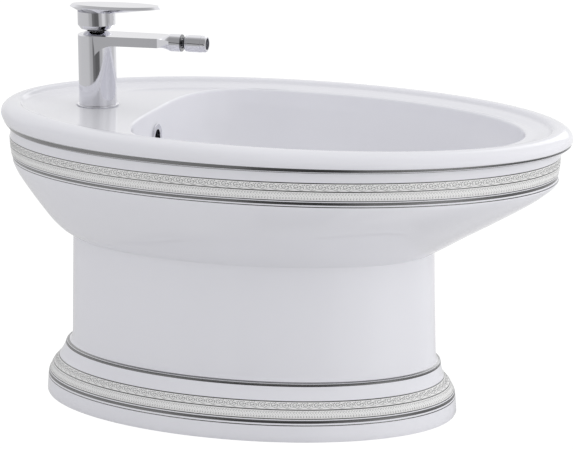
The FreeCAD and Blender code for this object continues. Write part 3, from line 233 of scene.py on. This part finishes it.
def hollowRings():  # the basin's back, the roof under deck and rim, then the inside of column and foot
    bottom, wall = bandRing["bottom"], china["wall"]
    back = basinRing(hollow["archDepth"], wall)[:, 1] / mm
    rise = np.clip((back - hollow["archStart"]) / hollow["archLength"], 0, 1)
    rise = rise * rise * (3 - 2 * rise)  # 0 beside the basin, 1 under the deck
    roof = blend(bottom, hollow["roof"], rise)
    topDepth = (hollow["backTop"] + back * leanSlope - roof) / hollow["backHeight"]
    rings = [basinRing(1 - share * (1 - topDepth), wall) for share in np.linspace(0, 1, hollow["steps"])]
    inset = blend(hollow["bandInset"], hollow["roofInset"], rise)
    rings.append(np.stack([(rimHalfWidth - inset) * np.cos(angles),
                           bandRing["shift"] + (rimHalfLength - inset) * np.sin(angles), roof], 1) * mm)
    bowl = [row[:4] for row in outer
            if columnRing["top"] + hollow["bowlFrom"] < row[0] < bottom - hollow["bowlBelow"]]
    for z, shift, a, b in bowl[::-hollow["bowlEvery"]]:
        rings.append(oval(z, shift, a - hollow["bowlInset"], b - hollow["bowlInset"]))
    for ring, inset, heights in ((columnRing, wall, (columnRing["top"], columnRing["root"])),
                                 (footRing, hollow["footInset"], (hollow["footTop"], 0))):
        rings += [oval(z, ring["shift"], ring["halfLength"] - inset, ring["halfWidth"] - inset)
                  for z in heights]
    return rings


# Mesh helpers

def meshFromRings(name, rings):  # a closed skin: the last ring joins the first
    count = len(rings[0])
    faces = []
    for i in range(len(rings)):
        here, there = i * count, (i + 1) % len(rings) * count
        for j in range(count):
            k = (j + 1) % count
            faces.append((here + j, here + k, there + k, there + j))
    mesh = bpy.data.meshes.new(name)
    mesh.from_pydata(np.concatenate(rings).tolist(), [], faces)
    mesh.update()
    outward(mesh)
    return mesh


def link(name, mesh):
    obj = bpy.data.objects.new(name, mesh)
    bpy.context.scene.collection.objects.link(obj)
    return obj


def outward(mesh):
    work = bmesh.new()
    work.from_mesh(mesh)
    bmesh.ops.recalc_face_normals(work, faces=work.faces)
    work.to_mesh(mesh)
    work.free()


def smooth(mesh, degrees):
    mesh.shade_smooth()
    mesh.set_sharp_from_angle(angle=math.radians(degrees))


def evaluated(obj):
    graph = bpy.context.evaluated_depsgraph_get()
    return bpy.data.meshes.new_from_object(obj.evaluated_get(graph))


def drum(name, radius, start, axis, length, stretch):
    sides = china["cutSides"]
    turn = np.linspace(0, 2 * math.pi, sides, endpoint=False)
    flat = np.stack([radius * np.cos(turn), radius * np.sin(turn)], 1)
    flat[:, 1] += np.where(np.sin(turn) > 0, stretch, 0)  # obround where it is stretched
    points = []
    for along in (0, length):
        for u, v in flat:
            place = (u, axis[1] * along, axis[2] * along + v) if axis[1] else (u, v, axis[2] * along)
            points.append((Vector(place) + Vector(start)) * mm)
    faces = [tuple(range(sides))[::-1], tuple(range(sides, 2 * sides))]
    faces += [(j, (j + 1) % sides, sides + (j + 1) % sides, sides + j) for j in range(sides)]
    mesh = bpy.data.meshes.new(name)
    mesh.from_pydata([tuple(point) for point in points], [], faces)
    outward(mesh)
    return link(name, mesh)


# Node helpers

def newMaterial(name):
    material = bpy.data.materials.new(name)
    material.use_nodes = True
    tree = material.node_tree
    return material, tree, tree.nodes["Principled BSDF"]


def addNode(tree, kind, **values):
    node = tree.nodes.new(kind)
    for key, value in values.items():
        if hasattr(node, key):
            setattr(node, key, value)
        else:
            node.inputs[key].default_value = value
    return node


def addRamp(tree, stops):  # a stop's value is a grey level or a colour
    ramp = addNode(tree, "ShaderNodeValToRGB")
    elements = ramp.color_ramp.elements
    elements.remove(elements[-1])
    for number, (position, value) in enumerate(stops):
        element = elements[0] if number == 0 else elements.new(position)
        element.position = position
        element.color = value if isinstance(value, tuple) else (value, value, value, 1)
    return ramp


def addRange(tree, fromMin, fromMax, toMin=0.0, toMax=1.0):
    return addNode(tree, "ShaderNodeMapRange",
                   **{"From Min": fromMin, "From Max": fromMax, "To Min": toMin, "To Max": toMax})


def addMath(tree, operation, first, second=None):  # the second is a number or another socket
    node = addNode(tree, "ShaderNodeMath", operation=operation)
    tree.links.new(first, node.inputs[0])
    if isinstance(second, (int, float)):
        node.inputs[1].default_value = second
    elif second:
        tree.links.new(second, node.inputs[1])
    return node.outputs[0]


def addMix(tree, share, first, second):
    node = addNode(tree, "ShaderNodeMixShader")
    for number, socket in enumerate((share, first, second)):
        tree.links.new(socket, node.inputs[number])
    return node.outputs[0]


# Finishes

glazeLook = {"color": (0.92, 0.92, 0.95, 1), "bandColor": (0.985, 0.985, 0.96, 1), "roughness": 0.04}
chromeLook = {"color": (0.8, 0.8, 0.835, 1), "roughness": 0.05, "shade": (0.3, 0.3, 0.31, 1)}
lineLook = {"color": (0.3, 0.3, 0.305, 1), "motif": (0.3, 0.3, 0.295, 1), "roughness": 0.22}
noiseLook = {"cloudScale": 9.0, "cloudDetail": 3.0, "cloudEdges": (0.3, 0.7), "grainDetail": 2.0,
             "grainDepth": 0.0002, "smoothest": 0.01}  # the depth is in metres


def surface(name, color, roughness, metallic=0.0, vary=0.03, grain=900.0, bump=0.02, spread=0.02,
            stretch=(1, 1, 1), **constants):
    material, tree, shader = newMaterial(name)
    wire = tree.links.new
    place = addNode(tree, "ShaderNodeTexCoord")
    mapping = addNode(tree, "ShaderNodeMapping", Scale=stretch)
    wire(place.outputs["Object"], mapping.inputs["Vector"])
    broad = addNode(tree, "ShaderNodeTexNoise", Scale=noiseLook["cloudScale"],
                    Detail=noiseLook["cloudDetail"])
    fine = addNode(tree, "ShaderNodeTexNoise", Scale=grain, Detail=noiseLook["grainDetail"])
    for noise in (broad, fine):
        wire(mapping.outputs["Vector"], noise.inputs["Vector"])
    darker = tuple(c * (1 - vary) for c in color[:3]) + (1,)
    ramp = addRamp(tree, tuple(zip(noiseLook["cloudEdges"], (darker, color))))
    wire(broad.outputs["Fac"], ramp.inputs["Fac"])
    wire(ramp.outputs["Color"], shader.inputs["Base Color"])
    rough = addRange(tree, 0.0, 1.0, max(noiseLook["smoothest"], roughness - spread), roughness + spread)
    wire(fine.outputs["Fac"], rough.inputs["Value"])
    wire(rough.outputs["Result"], shader.inputs["Roughness"])
    relief = addNode(tree, "ShaderNodeBump", Strength=bump, Distance=noiseLook["grainDepth"])
    wire(fine.outputs["Fac"], relief.inputs["Height"])
    wire(relief.outputs["Normal"], shader.inputs["Normal"])
    shader.inputs["Metallic"].default_value = metallic
    for key, value in constants.items():
        shader.inputs[key].default_value = value
    return material


looks = {  # a CAD node takes the finish that its slot in the record names, or the shaded chrome
    "china": surface("white glaze", glazeLook["color"], glazeLook["roughness"], vary=0.012, grain=60.0,
                     bump=0.02, spread=0.01, IOR=1.5),
    "band": surface("warm band glaze", glazeLook["bandColor"], 0.14, vary=0.03, grain=500.0, bump=0.08,
                    IOR=1.5),
    "chrome": surface("polished chrome", chromeLook["color"], chromeLook["roughness"], 1.0, vary=0.03,
                      grain=1400.0, bump=0.01, spread=0.015),
    "shade": surface("chrome in shade", chromeLook["shade"], 0.2, 1.0, vary=0.1, grain=1400.0, bump=0.02),
    "platinum": surface("platinum line", lineLook["color"], lineLook["roughness"], 1.0, vary=0.15,
                        grain=1500.0, bump=0.03, spread=0.06),
    "motif": surface("pale platinum scroll", lineLook["motif"], 0.35, vary=0.15, grain=900.0,
                     bump=0.03),
    "brass": surface("turned brass", (0.62, 0.44, 0.2, 1), 0.3, 1.0, vary=0.1, grain=1200.0, bump=0.1,
                     stretch=(1, 1, 14)),
    "steel": surface("brushed steel", (0.5, 0.5, 0.51, 1), 0.32, 1.0, vary=0.08, grain=1300.0, bump=0.12,
                     stretch=(1, 1, 12)),
    "white_plastic": surface("white plastic", (0.78, 0.78, 0.77, 1), 0.35, vary=0.03, grain=1100.0,
                             bump=0.06),
    "grey_plastic": surface("grey plastic", (0.13, 0.135, 0.145, 1), 0.45, vary=0.06, grain=1500.0,
                            bump=0.1),
    "rubber": surface("black rubber", (0.018, 0.018, 0.018, 1), 0.7, vary=0.15, grain=1800.0, bump=0.2),
}
print("materials made")


# The china casting

def makeChina():
    rings, marks = skinRings()
    rings += basinRings(rings[-1])
    rings += hollowRings()
    mesh = meshFromRings("china_glaze", rings)
    index = np.zeros(len(mesh.polygons), np.int32)
    for start, end in (("footBand", "footBandEnd"), ("rimBand", "rimBandEnd")):
        index[marks[start] * china["segments"]:marks[end] * china["segments"]] = 1
    mesh.materials.append(looks["china"])
    mesh.materials.append(looks["band"])
    mesh.polygons.foreach_set("material_index", index)
    obj = link("china_glaze", mesh)
    cutters = [drum(name, *cut) for name, cut in cuts.items()]
    for cutter in cutters:
        step = obj.modifiers.new(cutter.name, "BOOLEAN")
        step.operation, step.solver, step.object = "DIFFERENCE", "EXACT", cutter
    cutMesh = evaluated(obj)
    obj.modifiers.clear()
    obj.data = cutMesh
    for cutter in cutters:
        bpy.data.objects.remove(cutter)
    smooth(cutMesh, china["seamDegrees"])
    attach(obj, "bidet")
    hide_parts("china_body")


makeChina()
print("china made")


# Platinum lines

lineSection = {"proud": 0.1, "sunk": 0.25, "edgeShare": 0.3, "rows": 6, "slopeStep": 0.2, "seamDegrees": 50}
lineHeights = {  # lower and upper edge of each line
    "rim_line_broad": (328.8, 335.3), "rim_line_upper": (316.4, 317.6), "rim_line_middle": (307.1, 308.3),
    "rim_line_fine_above": (296.5, 297.6), "rim_line_low_broad": (292.0, 295.5),
    "rim_line_fine_below": (289.2, 290.3),
    "foot_line_broad": (60.3, 64.5), "foot_line_upper": (44.1, 45.2), "foot_line_middle": (36.4, 37.5),
    "foot_line_fine_above": (27.2, 28.3), "foot_line_low_broad": (22.8, 26.1),
    "foot_line_fine_below": (19.8, 20.9),
}


def surfaceNormals(ring, above):
    along = np.roll(ring, -1, 0) - np.roll(ring, 1, 0)
    normal = np.cross(along, above - ring)
    normal /= np.linalg.norm(normal, axis=1)[:, None]
    outside = ring - (0, columnRing["shift"] * mm, 0)
    outside[:, 2] = 0
    return normal * np.sign((normal * outside).sum(1))[:, None]


def platinumLine(name, low, high):
    top, under = [], []
    for z in np.linspace(low, high, lineSection["rows"]):
        ring = outerRing(z)
        normal = surfaceNormals(ring, outerRing(z + lineSection["slopeStep"]))
        proud = lineSection["proud"] * (lineSection["edgeShare"] if z in (low, high) else 1)
        top.append(ring + normal * proud * mm)
        under.append(ring - normal * lineSection["sunk"] * mm)
    mesh = meshFromRings(name, top + under[::-1])
    mesh.materials.append(looks["platinum"])
    smooth(mesh, lineSection["seamDegrees"])
    obj = link(name, mesh)
    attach(obj, "bidet")


for name, (low, high) in lineHeights.items():
    platinumLine(name, low, high)
print("lines made", len(lineHeights))


# Scroll ornament, one motif repeated round each band

ornament = {"proud": 0.12, "ribbon": 0.5, "endTaper": 0.12, "fill": 0.96, "curlCore": 0.18, "stemPoints": 9,
            "leafPoints": 8}
bands = {  # motif, lower and upper edge, and how many stand round the band
    "rim_scroll_band": ("scroll", 308.6, 316.2, 128), "rim_curl_band": ("curls", 298.0, 306.9, 256),
    "foot_scroll_band": ("scroll", 37.9, 43.9, 100), "foot_curl_band": ("curls", 28.6, 36.1, 200),
}
# Places are shares of the motif's width and height, and turns are in radians.
# A curl: across, up, radius, start, turns, side and breadth. A stem: up and wave. A leaf: across, up, turn.
motifs = {
    "scroll": {
        "curls": ((-0.2, 0.06, 0.4, -0.6, 1.1, 1, 1.3), (0.16, -0.14, 0.28, 2.6, 1.0, -1, 1),
                  (0.36, 0.2, 0.24, 3.6, 0.95, 1, 1)),
        "curlPoints": 13, "stems": ((-0.34, 0.13),), "leafSize": (1.9, 0.9),
        "leaves": ((-0.45, 0.34, 0.9), (0.06, 0.4, -0.5), (0.47, -0.1, 1.4), (-0.04, -0.02, 0.4),
                   (0.2, 0.12, 0.2)),
    },
    "curls": {
        "curls": ((-0.17, 0.25, 0.17, 0.8, 0.8, 1, 0.75), (0.33, 0.25, 0.17, 0.8, 0.8, 1, 0.75),
                  (-0.33, -0.25, 0.17, -0.8, 0.8, -1, 0.75), (0.17, -0.25, 0.17, -0.8, 0.8, -1, 0.75)),
        "curlPoints": 8, "stems": (), "leafSize": (0.9, 0.6),
        "leaves": ((0, 0, 0), (0.47, 0.0188, 1.5), (-0.0188, 0.423, -0.06), (0.0188, -0.423, 0.06),
                   (0.4512, 0.376, 1.44), (-0.4512, -0.376, -1.44)),
    },
}


def ribbon(work, points, breadth):
    along = np.gradient(points, axis=0)
    along /= np.linalg.norm(along, axis=1)[:, None]
    side = np.stack([-along[:, 1], along[:, 0]], 1)
    share = np.sin(np.linspace(ornament["endTaper"], math.pi - ornament["endTaper"], len(points))) ** 0.5
    half = side * (ornament["ribbon"] * breadth * share / 2)[:, None]
    verts = [(work.verts.new((*left, 0)), work.verts.new((*right, 0)))
             for left, right in zip(points + half, points - half)]
    for (a, b), (c, d) in zip(verts[:-1], verts[1:]):
        work.faces.new((a, b, d, c))


def curlLine(x, y, radius, start, turns, side, steps):
    share = np.linspace(0, 1, steps)
    turn = start + side * share * turns * 2 * math.pi
    reach = radius * (1 - (1 - ornament["curlCore"]) * share)
    return np.stack([x + reach * np.cos(turn), y + reach * np.sin(turn)], 1)


def leaf(work, x, y, size, turn):
    points = []
    for t in np.linspace(0, 2 * math.pi, ornament["leafPoints"], endpoint=False):
        u, v = size[0] / 2 * math.cos(t), size[1] / 2 * math.sin(t)
        points.append((x + u * math.cos(turn) - v * math.sin(turn),
                       y + u * math.sin(turn) + v * math.cos(turn), 0))
    work.faces.new([work.verts.new(point) for point in points])


def drawMotif(name, kind, width, height):
    work = bmesh.new()  # drawn flat: X along the band and Y up it
    drawing = motifs[kind]
    for across, up, radius, start, turns, side, breadth in drawing["curls"]:
        ribbon(work, curlLine(width * across, height * up, height * radius, start, turns, side,
                              drawing["curlPoints"]), breadth)
    for up, wave in drawing["stems"]:
        share = np.linspace(0, 1, ornament["stemPoints"])
        stem = (width * (share - 0.5), height * (up + wave * np.sin(share * 2 * math.pi)))
        ribbon(work, np.stack(stem, 1), 1)
    for across, up, turn in drawing["leaves"]:
        leaf(work, width * across, height * up, drawing["leafSize"], turn)
    for vert in work.verts:
        vert.co *= mm
    mesh = bpy.data.meshes.new(name)
    work.to_mesh(mesh)
    work.free()
    return link(name, mesh)


def repeatTree():
    tree = bpy.data.node_groups.new("repeat on points", "GeometryNodeTree")
    face = tree.interface
    face.new_socket(name="Geometry", in_out="INPUT", socket_type="NodeSocketGeometry")
    sockets = {}
    for label, kind in (("Motif", "Object"), ("Scale", "Float"), ("Finish", "Material")):
        socket = face.new_socket(name=label, in_out="INPUT", socket_type="NodeSocket" + kind)
        sockets[label] = socket.identifier
    face.new_socket(name="Geometry", in_out="OUTPUT", socket_type="NodeSocketGeometry")
    start, end = tree.nodes.new("NodeGroupInput"), tree.nodes.new("NodeGroupOutput")
    info = tree.nodes.new("GeometryNodeObjectInfo")
    turn = tree.nodes.new("GeometryNodeInputNamedAttribute")
    turn.data_type = "FLOAT_VECTOR"
    turn.inputs["Name"].default_value = "turn"  # how each motif is turned, stored on its point
    spin = tree.nodes.new("FunctionNodeEulerToRotation")
    place = tree.nodes.new("GeometryNodeInstanceOnPoints")
    real = tree.nodes.new("GeometryNodeRealizeInstances")
    finish = tree.nodes.new("GeometryNodeSetMaterial")
    wire = tree.links.new
    wire(start.outputs["Geometry"], place.inputs["Points"])
    wire(start.outputs["Motif"], info.inputs["Object"])
    wire(info.outputs["Geometry"], place.inputs["Instance"])
    wire(turn.outputs["Attribute"], spin.inputs["Euler"])
    wire(spin.outputs["Rotation"], place.inputs["Rotation"])
    wire(start.outputs["Scale"], place.inputs["Scale"])
    wire(place.outputs["Instances"], real.inputs["Geometry"])
    wire(real.outputs["Geometry"], finish.inputs["Geometry"])
    wire(start.outputs["Finish"], finish.inputs["Material"])
    wire(finish.outputs["Geometry"], end.inputs["Geometry"])
    return tree, sockets


repeat, repeatSockets = repeatTree()


def evenly(ring, count):
    closed = np.vstack([ring, ring[:1]])
    lengths = np.concatenate([[0], np.cumsum(np.linalg.norm(np.diff(closed, axis=0), axis=1))])
    at = np.linspace(0, lengths[-1], count, endpoint=False)
    return np.stack([np.interp(at, lengths, closed[:, k]) for k in range(3)], 1), lengths[-1]


def scrollBand(name, kind, low, high, count):
    points, around = evenly(outerRing((low + high) / 2), count)
    upper, lower = (evenly(outerRing(z), count)[0] for z in (high, low))
    height = float(np.linalg.norm(upper - lower, axis=1).mean()) / mm
    turns, places = [], []
    for i, point in enumerate(points):
        along = Vector(points[(i + 1) % count] - points[i - 1]).normalized()
        up = Vector(upper[i] - lower[i])
        up = (up - along * up.dot(along)).normalized()
        out = along.cross(up)
        turns.append(tuple(Matrix((along, up, out)).transposed().to_euler()))
        places.append(tuple(Vector(point) + out * ornament["proud"] * mm))
    cloud = bpy.data.meshes.new(name + "_points")
    cloud.from_pydata(places, [], [])
    attribute = cloud.attributes.new("turn", "FLOAT_VECTOR", "POINT")
    attribute.data.foreach_set("vector", np.array(turns).ravel())
    carrier = link(name + "_carrier", cloud)
    pattern = drawMotif(name + "_motif", kind, around / mm / count, height * ornament["fill"])
    modifier = carrier.modifiers.new("repeat", "NODES")
    modifier.node_group = repeat
    modifier[repeatSockets["Motif"]] = pattern
    modifier[repeatSockets["Scale"]] = 1.0
    modifier[repeatSockets["Finish"]] = looks["motif"]
    obj = link(name, evaluated(carrier))
    bpy.data.objects.remove(carrier)
    bpy.data.objects.remove(pattern)
    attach(obj, "bidet")


for name, band in bands.items():
    scrollBand(name, *band)
print("scrolls made", len(bands))


# Finishes of the CAD nodes

edges = {"sharpDegrees": 22, "weldGap": 1e-6, "segments": 2, "flatWeight": 50}  # the gap is in metres
bevels = {"mixer_body": 0.35, "lever_handle": 0.4, "base_ring_trim": 0.3, "mixer_dome": 0.3,
          "overflow_ring": 0.5, "nozzle_shell": 0.25, "nozzle_end_ring": 0.3, "ball_retainer": 0.15,
          "waste_flange": 0.4, "plug_cap": 0.5, "lever_screw_cap": 0.2}
shaded = ("nozzle_ball", "ball_retainer", "lever_turret")


def dress(name, look):
    obj = nodes[name]
    mesh = obj.data
    mesh.materials.clear()
    mesh.materials.append(looks[look])
    mesh.polygons.foreach_set("use_smooth", [True] * len(mesh.polygons))
    weld = obj.modifiers.new("weld", "WELD")
    weld.merge_threshold = edges["weldGap"]
    if name in bevels:
        step = obj.modifiers.new("edge", "BEVEL")
        step.width, step.segments, step.limit_method = bevels[name] * mm, edges["segments"], "ANGLE"
        step.angle_limit = math.radians(edges["sharpDegrees"])
        even = obj.modifiers.new("normals", "WEIGHTED_NORMAL")
        even.weight = edges["flatWeight"]
    else:
        split = obj.modifiers.new("split", "EDGE_SPLIT")
        split.split_angle = math.radians(edges["sharpDegrees"])


slotOf = {entry["node"]: entry["material_slot"] for entry in frame["record"]["subparts"]}
for name in nodes:
    if name != "china_body":
        dress(name, "shade" if name in shaded else slotOf[name])
print("CAD nodes dressed")


# The room that polished metal mirrors

sectorTones = (  # grey levels round the horizon, by share of a turn
    (0.0, 0.17), (0.025, 0.13), (0.075, 0.13), (0.095, 0.48), (0.13, 0.5), (0.15, 0.76), (0.185, 0.76),
    (0.205, 0.58), (0.24, 0.38), (0.29, 0.5), (0.33, 0.66), (0.38, 0.62), (0.45, 0.9), (0.6, 0.9),
    (0.65, 0.66), (0.9, 0.62), (0.93, 0.46), (0.965, 0.44), (0.975, 0.18),
)


def roomSectors(tree, vector):
    around = addNode(tree, "ShaderNodeTexGradient", gradient_type="RADIAL")
    tree.links.new(vector, around.inputs["Vector"])
    sectors = addRamp(tree, sectorTones)
    tree.links.new(around.outputs["Fac"], sectors.inputs["Fac"])
    return around.outputs["Fac"], sectors.outputs["Color"]


# Floor

floorLook = {"reach": 6, "color": (0.8, 0.8, 0.8, 1), "roughness": 0.9, "specular": 0.1,  # reach in metres
             "white": 1.08, "whiteShare": 0.95}


def makeFloor():
    reach = floorLook["reach"]
    mesh = bpy.data.meshes.new("floor")
    mesh.from_pydata([(-reach, -reach, 0), (reach, -reach, 0), (reach, reach, 0), (-reach, reach, 0)],
                     [], [(0, 1, 2, 3)])
    floor = link("floor", mesh)
    material, tree, shader = newMaterial("white floor")
    shader.inputs["Base Color"].default_value = floorLook["color"]
    shader.inputs["Roughness"].default_value = floorLook["roughness"]
    shader.inputs["Specular IOR Level"].default_value = floorLook["specular"]
    place = addNode(tree, "ShaderNodeTexCoord")
    path = addNode(tree, "ShaderNodeLightPath")
    seen = addNode(tree, "ShaderNodeEmission", Strength=floorLook["white"])
    mirrored = addNode(tree, "ShaderNodeEmission", Strength=1.0)
    tree.links.new(roomSectors(tree, place.outputs["Object"])[1], mirrored.inputs["Color"])
    share = addMath(tree, "MULTIPLY", path.outputs["Is Camera Ray"], floorLook["whiteShare"])
    forEye = addMix(tree, share, shader.outputs[0], seen.outputs[0])  # a little of its shadow stays
    forMetal = addMix(tree, path.outputs["Is Glossy Ray"], forEye, mirrored.outputs[0])
    tree.links.new(forMetal, tree.nodes["Material Output"].inputs["Surface"])
    mesh.materials.append(material)


makeFloor()


# World

studio = {
    "white": 1.08, "fill": 0.72, "fillColor": (0.97, 0.97, 1.0, 1), "strip": 1.1, "stripPlace": 0.1,
    "stripEdge": (0.1, 0.16), "stripStart": (0.5, 0.8), "horizonTop": (0.14, 0.28),
}
# grey from behind the camera to white beyond the part, by half of X plus a half
roomTones = ((0.0, 0.36), (0.3, 0.36), (0.48, 0.55), (0.62, 0.95), (1.0, 1.0))
# a dark band just over the horizon, by Z, and where round the horizon it is lifted, by share of a turn
bandTones = ((0.0, 1.0), (0.004, 0.08), (0.12, 0.08), (0.17, 1.0))
bandSectors = ((0.0, 1.0), (0.925, 1.0), (0.935, 0.0), (0.985, 0.0), (0.995, 1.0))


def makeWorld():
    world = bpy.data.worlds.new("studio")
    bpy.context.scene.world = world
    world.use_nodes = True
    tree = world.node_tree
    tree.nodes.clear()
    wire = tree.links.new
    out = addNode(tree, "ShaderNodeOutputWorld")
    place = addNode(tree, "ShaderNodeTexCoord").outputs["Generated"]
    path = addNode(tree, "ShaderNodeLightPath")
    split = addNode(tree, "ShaderNodeSeparateXYZ")
    wire(place, split.inputs["Vector"])
    seen = addNode(tree, "ShaderNodeBackground", Color=(1, 1, 1, 1), Strength=studio["white"])
    lit = addNode(tree, "ShaderNodeBackground", Color=studio["fillColor"], Strength=studio["fill"])

    # what gloss sees high up: the grey room with a tall bright strip beyond the part
    mirrored = addNode(tree, "ShaderNodeBackground")
    half = addRange(tree, -1.0, 1.0)
    room = addRamp(tree, roomTones)
    wire(split.outputs["X"], half.inputs["Value"])
    wire(half.outputs["Result"], room.inputs["Fac"])
    wire(room.outputs["Color"], mirrored.inputs["Color"])
    aside = addMath(tree, "ADD", split.outputs["Y"], studio["stripPlace"])
    within = addRange(tree, *studio["stripEdge"], studio["strip"], 0.0)
    ahead = addRange(tree, *studio["stripStart"])
    wire(addMath(tree, "ABSOLUTE", aside), within.inputs["Value"])
    wire(split.outputs["X"], ahead.inputs["Value"])
    brightStrip = addMath(tree, "MULTIPLY", within.outputs["Result"], ahead.outputs["Result"])
    wire(addMath(tree, "ADD", brightStrip, 1.0), mirrored.inputs["Strength"])

    # what it sees near the horizon: the sectors, with the dark band in some of them
    horizon = addNode(tree, "ShaderNodeBackground")
    around, sectors = roomSectors(tree, place)
    low, night = addRamp(tree, bandTones), addRamp(tree, bandSectors)
    wire(split.outputs["Z"], low.inputs["Fac"])
    wire(around, night.inputs["Fac"])
    wire(sectors, horizon.inputs["Color"])
    wire(addMath(tree, "MAXIMUM", low.outputs["Color"], night.outputs["Color"]), horizon.inputs["Strength"])

    rising = addRange(tree, *studio["horizonTop"])
    wire(split.outputs["Z"], rising.inputs["Value"])
    forRoom = addMix(tree, rising.outputs["Result"], horizon.outputs[0], mirrored.outputs[0])
    forMetal = addMix(tree, path.outputs["Is Glossy Ray"], lit.outputs[0], forRoom)
    forEye = addMix(tree, path.outputs["Is Camera Ray"], forMetal, seen.outputs[0])
    wire(forEye, out.inputs["Surface"])


makeWorld()


# Lamps, in metres and watts

lamps = {
    "front": {"place": (-0.3, -2.6, 1.6), "size": (1.8, 1.2), "power": 9.5},
    "low": {"place": (-0.2, -2.8, 0.35), "size": (1.8, 0.6), "power": 9.5},
    "above": {"place": (0.9, 0.2, 2.4), "size": (1.6, 1.8), "power": 4.5},
    "side": {"place": (-2.2, 1.6, 0.8), "size": (1.2, 1.0), "power": 2.0},
}
lampTarget = Vector((0, 0, 0.25))


def softLamp(name, place, size, power):
    data = bpy.data.lights.new(name, "AREA")
    data.shape, data.size, data.size_y, data.energy = "RECTANGLE", size[0], size[1], power
    lamp = link(name, data)
    lamp.location = place
    lamp.rotation_euler = (lampTarget - Vector(place)).to_track_quat("-Z", "Y").to_euler()
    lamp.visible_glossy = False  # soft light only, no bright patch in the glaze


for name, lamp in lamps.items():
    softLamp(name, **lamp)
print("floor, world and lamps made")


# Camera, in metres, with its focal length and sensor in millimetres

camera = {"place": (-2.4146, -0.7106, 0.845), "forward": (0.93083, 0.27397, -0.24192), "lens": 138.41,
          "sensor": 36, "shift": (0.0096, 0.0009), "clipEnd": 50}

lens = bpy.data.cameras.new("camera")
lens.lens, lens.sensor_width, lens.clip_end = camera["lens"], camera["sensor"], camera["clipEnd"]
lens.shift_x, lens.shift_y = camera["shift"]
view = link("camera", lens)
view.location = camera["place"]
view.rotation_euler = Vector(camera["forward"]).to_track_quat("-Z", "Y").to_euler()
bpy.context.scene.camera = view
bpy.context.scene.view_settings.view_transform = "Standard"

print("scene done")
